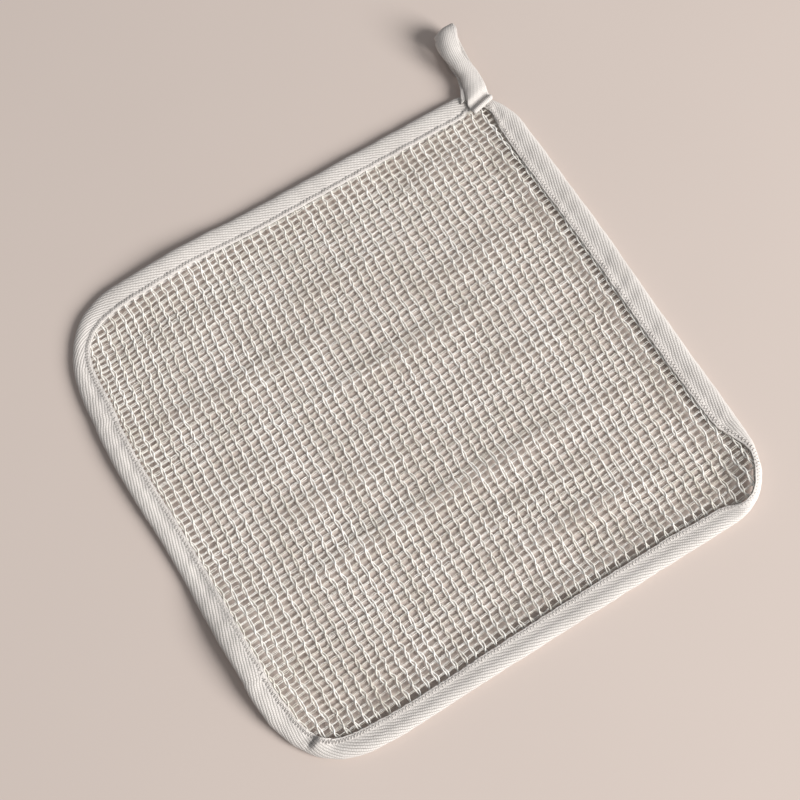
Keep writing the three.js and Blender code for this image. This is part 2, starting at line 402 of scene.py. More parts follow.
    def depth_inside(self, points: Array) -> tuple[Array, Array]:
        """How far points lie inside the tape's inner edge.

        Args:
            points: places on the cloth, one row each.

        Returns:
            The depth, less than nothing under the tape, and the nearest station of the outline.
        """
        start = self.inner[:: self.every]
        edge = np.roll(start, -1, axis=0) - start
        length = (edge**2).sum(1)
        depth, station = np.empty(len(points)), np.empty(len(points), int)
        for low in range(0, len(points), CHUNK):
            part = points[low : low + CHUNK]
            away = part[:, None, :] - start[None]
            share = np.clip((away * edge).sum(2) / length, 0, 1)
            gap = np.linalg.norm(away - share[..., None] * edge, axis=2)
            nearest = gap.argmin(1)
            above = start[None, :, 1] > part[:, None, 1]
            crossing = above != np.roll(above, -1, axis=1)
            rise = np.where(np.abs(edge[:, 1]) < 1e-9, 1e-9, edge[:, 1])
            at_x = start[:, 0] + (part[:, None, 1] - start[:, 1]) / rise * edge[:, 0]
            inside = (crossing & (part[:, None, 0] < at_x)).sum(1) % 2 == 1
            rows = np.arange(len(part))
            depth[low : low + CHUNK] = np.where(inside, 1, -1) * gap[rows, nearest]
            station[low : low + CHUNK] = nearest * self.every
        return depth, station

    def net_rest(self, points: Array) -> Array:
        """The height of the net's underside.

        Args:
            points: places on the cloth, one row each.

        Returns:
            The height at each, also where the net runs into the tape.
        """
        depth, station = self.depth_inside(points)
        inside = np.maximum(depth, 0)
        share = np.clip(1 + np.minimum(depth, 0) / self.covered[station], 0, 1)
        rim = (self.skin + self.clearance) * bump(inside / self.rim_fall)
        loose = np.maximum(self.facing(Side.NEAR), self.facing(Side.RIGHT))[station]
        rim += self.puff * loose * bump(inside / self.puff_breadth - 1)
        curl = self.curl_fold + (self.curl_inner - self.curl_fold) * share
        curl = curl * self.curl_at(self.outer[station]) * bump(inside / self.curl_inward)
        ripples = np.zeros(len(points))
        for ripple in self.ripples:
            along = bump((points[:, 0] - ripple.x) / ripple.half_length)
            ripples += ripple.rise * along * bump((points[:, 1] - ripple.y) / ripple.half_breadth)
        rise = np.maximum(0, ripples - self.trough) * smooth(inside / self.ripple_margin)
        return rim + curl + self.lift_at(points) + rise


@dataclass
class MeshParts:
    """Vertices, polygons and corner values that are gathered for one mesh."""

    verts: list[Array] = field(default_factory=list)
    corners: list[Array] = field(default_factory=list)
    sizes: list[Array] = field(default_factory=list)
    uvs: list[Array] = field(default_factory=list)
    tones: list[Array] = field(default_factory=list)
    count: int = 0

    def add(
        self, verts: Array, polygons: Array, uv: Array, tone: float | Array
    ) -> None:
        """Adds a patch.

        Args:
            verts: its points, in mm.
            polygons: its polygons, all with the same number of corners.
            uv: the pattern coordinates of each polygon's corners.
            tone: how light the yarn is, for all of it or for each point.
        """
        self.corners.append((polygons + self.count).ravel())
        self.sizes.append(np.full(len(polygons), polygons.shape[1]))
        self.uvs.append(uv.reshape(-1, 2))
        self.verts.append(verts)
        self.tones.append(np.broadcast_to(tone, (len(verts),)))
        self.count += len(verts)

    def close(self, ring: Array, uv: tuple[float, float]) -> None:
        """Closes a tube's end.

        Args:
            ring: the numbers of the end's points, turning round the outward way.
            uv: the pattern coordinates of the end.
        """
        self.corners.append(ring)
        self.sizes.append(np.array([len(ring)]))
        self.uvs.append(np.tile(uv, (len(ring), 1)))

    def build(self, name: str) -> Object:
        """Makes the object, in metres, in the record's frame.

        Args:
            name: the object's name.

        Returns:
            The object, linked into the scene.
        """
        verts = (np.vstack(self.verts) + CLOTH_MIDDLE) * MM
        corners = np.concatenate(self.corners).astype(np.int32)
        sizes = np.concatenate(self.sizes).astype(np.int32)
        mesh = bpy.data.meshes.new(name)
        mesh.vertices.add(len(verts))
        mesh.vertices.foreach_set("co", verts.astype(np.float32).ravel())
        mesh.loops.add(len(corners))
        mesh.loops.foreach_set("vertex_index", corners)
        mesh.polygons.add(len(sizes))
        starts = np.concatenate([[0], np.cumsum(sizes)[:-1]]).astype(np.int32)
        mesh.polygons.foreach_set("loop_start", starts)
        mesh.polygons.foreach_set("loop_total", sizes)
        mesh.update(calc_edges=True)
        mesh.validate()
        layer = mesh.uv_layers.new(name="Pattern")
        layer.data.foreach_set("uv", np.vstack(self.uvs).astype(np.float32).ravel())
        tone = mesh.attributes.new("tone", "FLOAT", "POINT")
        tone.data.foreach_set("value", np.concatenate(self.tones).astype(np.float32))
        mesh.polygons.foreach_set("use_smooth", np.ones(len(sizes), bool))
        return link(name, mesh)


def link(name: str, data: bpy.types.ID) -> Object:
    """Makes an object and adds it to the scene.

    Args:
        name: the object's name.
        data: its mesh, light or camera.

    Returns:
        The object.
    """
    made = bpy.data.objects.new(name, data)
    bpy.context.scene.collection.objects.link(made)
    return made


def cells(rows: int, columns: int) -> tuple[Array, Array]:
    """The row and the column of each cell of a grid."""
    return tuple(k.ravel() for k in np.meshgrid(np.arange(rows), np.arange(columns), indexing="ij"))


def add_tube(
    parts: MeshParts,
    path: Array,
    across: float | Array,
    deep: float | Array,
    sides: int,
    tone: float,
) -> None:
    """Adds one yarn as a closed tube.

    Args:
        parts: the mesh it goes into.
        path: its middle line, one point a row, in mm.
        across: its half breadth.
        deep: its half depth.
        sides: how many faces go round it.
        tone: how light it is.
    """
    along = unit(np.gradient(path, axis=0))
    side = unit(np.cross(along, [0, 0, 1]))
    up = np.cross(side, along)
    turn = 2 * math.pi * (np.arange(sides) + 0.5) / sides
    across, deep = (np.broadcast_to(v, (len(path),))[:, None, None] for v in (across, deep))
    ring = side[:, None, :] * np.cos(turn)[None, :, None] * across
    ring = ring + up[:, None, :] * np.sin(turn)[None, :, None] * deep
    verts = (path[:, None, :] + ring).reshape(-1, 3)
    gone = gone_along(path)
    i, j = cells(len(path) - 1, sides)
    row, next_row, j_next = i * sides, (i + 1) * sides, (j + 1) % sides
    quads = np.stack([row + j, row + j_next, next_row + j_next, next_row + j], 1)
    u = np.stack([gone[i], gone[i], gone[i + 1], gone[i + 1]], 1)
    v = np.stack([j, j + 1, j + 1, j], 1) / sides
    base = parts.count
    parts.add(verts, quads, np.stack([u, v], 2), tone)
    parts.close(base + np.arange(sides)[::-1], (0.0, 0.0))
    parts.close(base + (len(path) - 1) * sides + np.arange(sides), (float(gone[-1]), 0.0))


def add_skin(parts: MeshParts, rings: Array, uv: Array, closed: bool, tone: Array) -> None:
    """Adds a skin over like rings of points.

    Args:
        parts: the mesh it goes into.
        rings: rings x points x 3, in mm. Each ring is a closed section.
        uv: the pattern coordinates along and across, rings x (points + 1) x 2.
        closed: whether the last ring joins the first; then uv has one more ring.
        tone: how clear the weave's ribs are, rings x points.
    """
    count, size = rings.shape[:2]
    last = count if closed else count - 1
    i, j = cells(last, size)
    row, next_row, j_next = i * size, (i + 1) % count * size, (j + 1) % size
    quads = np.stack([row + j, next_row + j, next_row + j_next, row + j_next], 1)
    corner_uv = np.stack([uv[i, j], uv[i + 1, j], uv[i + 1, j + 1], uv[i, j + 1]], 1)
    base = parts.count
    parts.add(rings.reshape(-1, 3), quads, corner_uv, tone.ravel())
    if not closed:
        parts.close(base + np.arange(size), tuple(uv[0, 0]))
        parts.close(base + (count - 1) * size + np.arange(size)[::-1], tuple(uv[-1, 0]))


def new_group(name: str, inputs: dict[str, object], outputs: dict[str, str]) -> NodeTree:
    """Makes a shader node group with its sockets.

    Args:
        name: the group's name.
        inputs: the inputs' names and defaults, where a tuple is a colour.
        outputs: the outputs' names and types.

    Returns:
        The group, with no nodes yet.
    """
    group = bpy.data.node_groups.new(name, "ShaderNodeTree")
    for title, value in inputs.items():
        kind = "NodeSocketColor" if isinstance(value, tuple) else "NodeSocketFloat"
        group.interface.new_socket(name=title, in_out="INPUT", socket_type=kind).default_value = value
    for title, kind in outputs.items():
        group.interface.new_socket(name=title, in_out="OUTPUT", socket_type=kind)
    return group


@dataclass
class Nodes:
    """A short way to place and join shader nodes."""

    tree: NodeTree

    def fill(self, node: Node, inputs: dict[str | int, object]) -> None:
        """Joins sockets to a node's inputs, or sets plain values on them.

        Args:
            node: the node.
            inputs: what goes to each input.
        """
        for name, value in inputs.items():
            if isinstance(value, NodeSocket):
                self.tree.links.new(value, node.inputs[name])
            else:
                node.inputs[name].default_value = value

    def add(
        self, kind: str, inputs: dict[str | int, object] | None = None, **settings: object
    ) -> Node:
        """Adds a node.

        Args:
            kind: its type's name.
            inputs: what goes to its inputs.
            settings: what is set on it.

        Returns:
            The node.
        """
        node = self.tree.nodes.new(kind)
        for name, value in settings.items():
            setattr(node, name, value)
        self.fill(node, inputs or {})
        return node

    def times(self, first: object, second: object) -> NodeSocket:
        """The product of two values."""
        return self.math("MULTIPLY", first, second)

    def plus(self, first: object, second: object) -> NodeSocket:
        """The sum of two values."""
        return self.math("ADD", first, second)

    def less(self, first: object, second: object) -> NodeSocket:
        """The first value less the second."""
        return self.math("SUBTRACT", first, second)

    def wave(self, turns: object) -> NodeSocket:
        """A row of humps, one for each half turn, from 0 to 1."""
        return self.math("ABSOLUTE", self.math("SINE", self.times(turns, math.pi)))

    def math(self, operation: str, *values: object) -> NodeSocket:
        """The result of a Math node."""
        return self.add("ShaderNodeMath", dict(enumerate(values)), operation=operation).outputs[0]

    def mix(self, share: object, first: object, second: object) -> NodeSocket:
        """A colour between two others."""
        inputs = {"Factor": share, 6: first, 7: second}
        return self.add("ShaderNodeMix", inputs, data_type="RGBA").outputs[2]

    def noise(self, place: object, scale: float, detail: float = 2.0) -> NodeSocket:
        """The grey value of a Noise texture."""
        inputs = {"Vector": place, "Scale": scale, "Detail": detail}
        return self.add("ShaderNodeTexNoise", inputs).outputs["Fac"]

    def spread(
        self, value: object, low: float, high: float, to_low: float, to_high: float
    ) -> NodeSocket:
        """A value carried smoothly from one range to another, and kept inside it."""
        inputs = {"Value": value, "From Min": low, "From Max": high, "To Min": to_low, "To Max": to_high}
        return self.add("ShaderNodeMapRange", inputs, interpolation_type="SMOOTHSTEP").outputs["Result"]


@cache
def fibre_tone_group() -> NodeTree:
    """Colours undyed fibre: patchy tone, flecks and fine fuzz.

    Returns:
        The node group.
    """
    inputs = {"Light": (0.8, 0.76, 0.7, 1), "Dark": (0.6, 0.55, 0.48, 1), "Fleck": 0.3, "Tone": 0.5}
    group = new_group("FibreTone", inputs, {"Color": "NodeSocketColor", "Fuzz": "NodeSocketFloat"})
    n = Nodes(group)
    given = n.add("NodeGroupInput").outputs
    place = n.add("ShaderNodeTexCoord").outputs["Object"]
    patch = n.noise(place, 38.0, 3.0)
    fleck = n.spread(n.noise(place, 900.0, 1.0), 0.62, 0.74, 0.0, 1.0)
    tone = n.plus(n.times(given["Tone"], 0.55), n.times(patch, 0.45))
    base = n.mix(n.spread(tone, 0.2, 0.8, 0.0, 1.0), given["Dark"], given["Light"])
    flecked = n.mix(n.times(fleck, given["Fleck"]), base, given["Dark"])
    n.add("NodeGroupOutput", {"Color": flecked, "Fuzz": n.noise(place, 5200.0, 2.0)})
    return group


@cache
def twill_group() -> NodeTree:
    """Draws the tape's twill ribs from its pattern coordinates, with painted shade in the grooves between
    ribs and between threads.

    Returns:
        The node group.
    """
    inputs = {"Along": 0.0, "Across": 0.0, "Pitch": 1.4}
    group = new_group("TwillRibs", inputs, {"Height": "NodeSocketFloat", "GrooveShade": "NodeSocketFloat"})
    n = Nodes(group)
    given = n.add("NodeGroupInput").outputs
    along, across, pitch = (given[name] for name in ("Along", "Across", "Pitch"))
    lean, waver, thread_pitch = math.radians(18), 0.35, 0.88
    over = n.less(n.times(along, math.sin(lean)), n.times(across, math.cos(lean)))
    wobble = n.add("ShaderNodeCombineXYZ", {0: n.times(along, waver), 1: n.times(across, waver)})
    stray = n.times(n.less(n.noise(wobble.outputs[0], 1.0), 0.5), 0.55)
    phase = n.math("DIVIDE", n.plus(over, stray), pitch)
    rib = n.wave(phase)
    run = n.plus(n.times(along, math.cos(lean)), n.times(across, math.sin(lean)))
    thread = n.wave(n.plus(n.math("DIVIDE", run, thread_pitch), n.times(n.math("FLOOR", phase), 0.5)))
    raised = n.times(n.math("POWER", rib, 0.55), 0.6)
    height = n.plus(raised, n.times(n.math("POWER", thread, 0.6), 0.4))
    # Painted shade in the grooves between ribs and in the gaps between threads.
    groove = n.times(n.spread(rib, 0.0, 0.6, 1.0, 0.0), n.less(1.0, n.times(thread, 0.4)))
    gap = n.less(1.0, n.spread(thread, 0.0, 0.5, 0.0, 1.0))
    n.add("NodeGroupOutput", {"Height": height, "GrooveShade": n.math("MAXIMUM", groove, n.times(gap, 0.4))})
    return group


@dataclass(frozen=True)
class FibreFinish:
    """What the yarn and the tape have in common: matt undyed fibre with fuzz over it."""

    name: str
    light: Color
    dark: Color
    roughness: float
    fleck: float
    sheen: float
    gloss: float
    relief: tuple[float, float]

    def start(self) -> tuple[Material, Nodes, Node, NodeSocket, list[NodeSocket]]:
        """Starts the material.

        Returns:
            The material, its nodes, its tone group, the tone attribute and the two pattern coordinates.
        """
        material = bpy.data.materials.new(self.name)
        material.use_nodes = True
        n = Nodes(material.node_tree)
        looks = {"Light": self.light, "Dark": self.dark, "Fleck": self.fleck}
        fibre = n.add("ShaderNodeGroup", looks, node_tree=fibre_tone_group())
        tone = n.add("ShaderNodeAttribute", attribute_name="tone").outputs["Fac"]
        pattern = n.add("ShaderNodeUVMap", uv_map="Pattern").outputs["UV"]
        parts = n.add("ShaderNodeSeparateXYZ", {0: pattern})
        return material, n, fibre, tone, list(parts.outputs)[:2]

    def end(self, n: Nodes, shade: NodeSocket, height: NodeSocket) -> None:
        """Joins the colour and the relief to the surface.

        Args:
            n: the material's nodes.
            shade: the colour.
            height: the height of the relief, from 0 to 1.
        """
        strength, rise = self.relief
        relief = n.add("ShaderNodeBump", {"Strength": strength, "Distance": rise * MM, "Height": height})
        surface = {
            "Base Color": shade,
            "Normal": relief.outputs["Normal"],
            "Roughness": self.roughness,
            "Sheen Weight": self.sheen,
            "Sheen Roughness": 0.5,
            "Specular IOR Level": self.gloss,
        }
        n.fill(n.tree.nodes["Principled BSDF"], surface)


@dataclass(frozen=True)
class YarnFinish(FibreFinish):
    """The undyed, softly hairy yarn of the net."""

    name: str = "net_yarn"
    light: Color = (0.93, 0.912, 0.875, 1)
    # The dark colour serves the fibre's patches and flecks, and the painted shade between the plies.
    dark: Color = (0.62, 0.575, 0.49, 1)
    roughness: float = 0.85
    fleck: float = 0.35
    sheen: float = 0.25
    gloss: float = 0.2
    relief: tuple[float, float] = (0.5, 0.12)
    ply_pitch: float = 1.7

    def material(self) -> Material:
        """Builds the material: plied strands from the pattern coordinates, with painted shade between the
        plies and fuzz over them.

        Returns:
            The material.
        """
        material, n, fibre, tone, (along, around) = self.start()
        n.fill(fibre, {"Tone": tone})
        ply = n.wave(n.plus(n.math("DIVIDE", along, self.ply_pitch), n.times(around, 2.0)))
        height = n.plus(n.times(ply, 0.6), n.times(fibre.outputs["Fuzz"], 0.4))
        # Painted shade between the plies: the ply's hollows are mixed toward the dark colour.
        shade = n.mix(n.spread(ply, 0.0, 0.4, 0.35, 0.0), fibre.outputs["Color"], self.dark)
        self.end(n, shade, height)
        return material


@dataclass(frozen=True)
class TapeFinish(FibreFinish):
    """The off-white cotton twill of the edge tape and the loop."""

    name: str = "edge_tape"
    light: Color = (0.746, 0.703, 0.67, 1)
    # The dark colour serves the fibre's flecks and patches, and the painted shade in the rib grooves.
    dark: Color = (0.24, 0.21, 0.185, 1)
    roughness: float = 0.8
    fleck: float = 0.15
    sheen: float = 0.2
    gloss: float = 0.25
    relief: tuple[float, float] = (1.0, 0.45)
    evenness: float = 0.95
    rib_pitch: float = 1.25
    # How strong the painted shade in the rib grooves is.
    groove_shade: float = 1.0

    def material(self) -> Material:
        """Builds the material: twill ribs from the pattern coordinates, with painted shade in their
        grooves and fuzz over them.

        Returns:
            The material.
        """
        material, n, fibre, tone, (along, across) = self.start()
        n.fill(fibre, {"Tone": self.evenness})
        pattern = {"Along": along, "Across": across, "Pitch": self.rib_pitch}
        twill = n.add("ShaderNodeGroup", pattern, node_tree=twill_group())
        ribs = n.times(n.times(twill.outputs["Height"], tone), 0.8)
        # Painted shade: the grooves are mixed toward the dark colour.
        depth = n.times(n.times(twill.outputs["GrooveShade"], tone), self.groove_shade)
        shade = n.mix(depth, fibre.outputs["Color"], self.dark)
        self.end(n, shade, n.plus(ribs, n.times(fibre.outputs["Fuzz"], 0.2)))
        return material


@dataclass(frozen=True)
class FloorFinish:
    """The plain pale surface under the cloth."""

    name: str = "pale_floor"
    color: Color = (0.615, 0.53, 0.485, 1)
    roughness: float = 0.9
    gloss: float = 0.1
    patch_tone: float = 0.95
    # Painted shade toward the light: the floor darkens to this share of its colour across the span below,
    # in metres along the way to the light.
    painted_shade_tone: float = 0.3
    painted_shade_span: tuple[float, float] = (0.4, 1.7)

    def toned(self, share: float) -> Color:
        """The colour at a share of its brightness."""
        return tuple(share * c for c in self.color[:3]) + (1.0,)

    def material(self, toward: Vector) -> Material:
        """Builds the material, with a faint unevenness of tone and painted shade that darkens it towards
        the light.

        Args:
            toward: the way to the light, where painted shade darkens the surface against the stronger
                light there, so that it stays even.

        Returns:
            The material.
        """
        material = bpy.data.materials.new(self.name)
        material.use_nodes = True
        n = Nodes(material.node_tree)
        place = n.add("ShaderNodeTexCoord").outputs["Object"]
        reach = n.add("ShaderNodeVectorMath", {0: place, 1: toward}, operation="DOT_PRODUCT")
        even = n.mix(n.noise(place, 6.0), self.toned(self.patch_tone), self.color)
        # Painted shade: the nearer a place lies to the light, the darker it is painted, so that the floor
        # looks even.
        share = n.spread(reach.outputs["Value"], *self.painted_shade_span, 0.0, 1.0)
        shade = n.mix(share, even, self.toned(self.painted_shade_tone))
        surface = {"Base Color": shade, "Roughness": self.roughness, "Specular IOR Level": self.gloss}
        n.fill(n.tree.nodes["Principled BSDF"], surface)
        return material


@dataclass
class Net:
    """The open net: columns of two yarns twisted round each other, with cross yarns held between them."""

    shape: ClothShape
    columns: int = 47
    first_column: float = -116.0
    column_pitch: float = 4.95
    pitch_growth: float = 0.00716
    rungs: int = 75
    first_rung: float = -112.6
    rung_pitch: float = 3.08
    rung_closing: float = 0.24
    steps_per_rung: int = 4
    steps_per_cell: int = 3
    strand_across: float = 0.35
    strand_deep: float = 0.34
    strand_orbit: float = 0.6
    orbit_depth: float = 0.24
    middle_height: float = 0.9
    column_rise: float = 0.14
    rung_drop: float = 0.05
    fan: tuple[float, float] = (0.75, 0.42)
    strand_tones: tuple[float, float] = (0.45, 1.0)
    rung_tones: tuple[float, float] = (0.25, 1.0)
    hair_tones: tuple[float, float] = (0.5, 1.0)
    four_yarns: float = 0.2
    cross_radius: float = 0.15
    cross_gap: float = 0.46
    cross_slant: float = 0.17
    sway: float = 0.3
    twist_rungs: float = 4.0
    tuck: float = 2.3
    hairs: int = 3300
    hair_radius: float = 0.065
    strips: int = 4
    pulls: tuple[Pull, ...] = (
        Pull(-118, 118, 150, 75, 4.5, -1.5),
        Pull(-122, 112, 60, 70, 0.0, -3.0),
        Pull(112, 118, 85, 70, -3.0, 1.2),
        Pull(-112, -120, 130, 55, 2.2, 1.6),
        Pull(112, -112, 60, 60, -0.6, -1.4),
    )

    def column_x(self, u: Array) -> Array:
        """Where column u stands on a flat, even cloth."""
        return self.first_column + self.column_pitch * u + 0.5 * self.pitch_growth * u**2

    def rung_y(self, v: Array) -> Array:
        """Where rung v lies on a flat, even cloth."""
        late = np.maximum(0, v - 0.6 * self.rungs)
        return self.first_rung + self.rung_pitch * v - self.rung_closing * late**2 / (0.8 * self.rungs)

    def place(self, u: Array, v: Array) -> Array:
        """Where a point of the weave lies on the cloth.

        Args:
            u: columns.
            v: rungs.

        Returns:
            X and Y, with the weave's pulls and its small unevenness.
        """
        x, y = self.column_x(u), self.rung_y(v)
        dx, dy = np.zeros_like(x), np.zeros_like(y)
        for pull in self.pulls:
            share = bump((x - pull.x) / pull.reach_x) * bump((y - pull.y) / pull.reach_y)
            dx += pull.shift_x * share
            dy += pull.shift_y * share
        dx += 0.5 * wander_2d(x, y, 11, 26.0) + 0.3 * wander_2d(x, y, 12, 9.0)
        dy += 0.45 * wander_2d(x, y, 13, 30.0) + 0.2 * wander_2d(x, y, 14, 8.0)
        return np.stack([x + dx, y + dy], -1)

    def twist_at(self, u: Array, v: Array) -> Array:
        """How many turns the two strands have made, nearly in step over the whole cloth."""
        own = 0.12 * wander_2d(u * 3.1, v, 23, 2.2)
        return v / self.twist_rungs + 0.5 * wander_2d(u, v, 21, 9.0) + own

    def sway_at(self, u: Array, v: Array) -> Array:
        """The columns' small swaying, in step with their twist.

        Args:
            u: columns.
            v: rungs.

        Returns:
            The shift along X.
        """
        phase = self.twist_at(u, v) % 1.0
        saw = np.where(phase < 0.7, phase / 0.7, (1 - phase) / 0.3) * 2 - 1
        strength = 1.0 + 0.6 * wander_2d(u * 1.7, v, 22, 5.0)
        return self.sway * (saw * strength + 0.4 * wander_2d(u * 3.1, v, 24, 2.0))

    def _on_net(self, flat: Array, fewest: int) -> slice | None:
        """The stretch of a line that lies on the net or just under the tape, None if it is short."""
        kept = np.flatnonzero(self.shape.depth_inside(flat)[0] > -self.tuck)
        return slice(kept[0], kept[-1] + 1) if len(kept) >= fewest else None

    def _middle_height(self, points: Array) -> Array:
        """The height of the net's middle plane."""
        return self.shape.net_rest(points) + self.middle_height

    def _add_column(self, parts: MeshParts, u: int, rng: np.random.Generator) -> None:
        """Adds one column of two twisted strands.

        Args:
            parts: the mesh it goes into.
            u: the column.
            rng: random numbers for its strip.
        """
        v = np.arange(-4, self.rungs + 1 + 1e-6, 1 / self.steps_per_rung)
        uu = np.full_like(v, u)
        flat = self.place(uu, v)
        flat[:, 0] += self.sway_at(uu, v)
        kept = self._on_net(flat, 2 * self.steps_per_rung)
        if kept is None:
            return
        flat, v, uu = flat[kept], v[kept], uu[kept]
        height = self._middle_height(flat)
        loose = 1 + 0.14 * wander(v + 31 * u, 41, 1.5)
        for strand in range(2):
            angle = 2 * math.pi * self.twist_at(uu, v) + math.pi * strand
            aside = np.sign(np.sin(angle)) * np.abs(np.sin(angle)) ** 0.6
            x = flat[:, 0] + self.strand_orbit * loose * aside
            z = height + self.column_rise + self.orbit_depth * np.cos(angle)
            path = np.column_stack([x, flat[:, 1], z])
            thick = 1 + 0.16 * np.cos(2 * math.pi * v) + 0.14 * wander(v * 3 + 57 * u + strand, 43, 1.0)
            tone = rng.uniform(*self.strand_tones)
            add_tube(parts, path, self.strand_across * thick, self.strand_deep * thick, 5, tone)

    def _add_rung(
        self, parts: MeshParts, v: int, low: float, high: float, rng: np.random.Generator
    ) -> None:
        """Adds one rung's stretch of cross yarns.

        Args:
            parts: the mesh it goes into.
            v: the rung.
            low: the column it starts at.
            high: the column it ends at.
            rng: random numbers for this stretch.
        """
        u = np.arange(low, high + 1e-6, 1 / self.steps_per_cell)
        vv = np.full_like(u, v)
        flat = self.place(u, vv)
        kept = self._on_net(flat, 2 * self.steps_per_cell)
        if kept is None:
            return
        flat, u = flat[kept], u[kept]
        height = self._middle_height(flat)
        middle = np.sin(math.pi * (u % 1.0)) ** 2
        slant = self.cross_slant * np.sin(2 * math.pi * ((u % 1.0) - 0.5))
        yarns = 4 if rng.random() < self.four_yarns else 3
        bow = 0.16 * wander(u + 13 * v, 51, 1.0) * middle
        for yarn in range(yarns):
            offset = (yarn - (yarns - 1) / 2) * self.cross_gap
            fan = self.fan[0] + self.fan[1] * middle * (0.6 + 1.2 * wander(u + 29 * v, 52, 1.0))
            stray = 0.26 * middle * wander(u * 1.3 + 7 * v + 211 * yarn, 53, 1.0)
            z = height - self.rung_drop + 0.25 * middle * wander(u + 19 * v + 97 * yarn, 54, 1.0)
            path = np.column_stack([flat[:, 0], flat[:, 1] + offset * fan + bow + slant + stray, z])
            radius = self.cross_radius * (1 + 0.2 * wander(u * 2 + 3 * v + yarn, 55, 1.0))
            add_tube(parts, path, radius, radius, 4, rng.uniform(*self.rung_tones))

    def _add_hairs(self, parts: MeshParts, low: float, high: float, rng: np.random.Generator) -> None:
        """Adds the short loose fibres that stand off the yarns.

        Args:
            parts: the mesh they go into.
            low: the column they start at.
            high: the column they end at.
            rng: random numbers for them.
        """
        u = rng.integers(math.ceil(low), math.ceil(high), self.hairs) + rng.normal(0, 0.1, self.hairs)
        root = self.place(u, rng.uniform(0, self.rungs, self.hairs))
        turn = rng.uniform(0, 2 * math.pi, self.hairs)
        reach = rng.uniform(0.5, 1.4, self.hairs)
        depth, _ = self.shape.depth_inside(root)
        height = self._middle_height(root) + rng.uniform(-0.2, 0.5, self.hairs)
        for i in np.flatnonzero(depth > 2.0):
            step = np.array([math.cos(turn[i]), math.sin(turn[i]), rng.uniform(-0.2, 0.25)]) * reach[i]
            start = np.append(root[i], height[i])
            bend = np.append(rng.normal(0, 0.25, 2), rng.uniform(0, 0.25)) * reach[i]
            path = np.array([start - 0.5 * step, start + bend, start + 0.5 * step])
            add_tube(parts, path, self.hair_radius, self.hair_radius, 3, rng.uniform(*self.hair_tones))

    def build(self, finish: Material) -> list[Object]:
        """Builds the net in strips side by side, so that none is too heavy.

        Args:
            finish: the yarn's material.

        Returns:
            The strips from left to right.
        """
        strips = []
        bounds = np.linspace(0, self.columns, self.strips + 1).round().astype(int)
        for number, (start, stop) in enumerate(zip(bounds[:-1], bounds[1:])):
            rng = np.random.default_rng(700 + number)
            parts = MeshParts()
            for u in range(start, stop):
                self._add_column(parts, u, rng)
            low = start if number else -1.5
            high = stop if number < self.strips - 1 else self.columns + 1.0
            for v in range(-3, self.rungs):
                self._add_rung(parts, v, low, high, rng)
            self._add_hairs(parts, start, stop, rng)
            strip = parts.build(f"net_strip_{number + 1}")
            strip.data.materials.append(finish)
            strips.append(strip)
        return strips


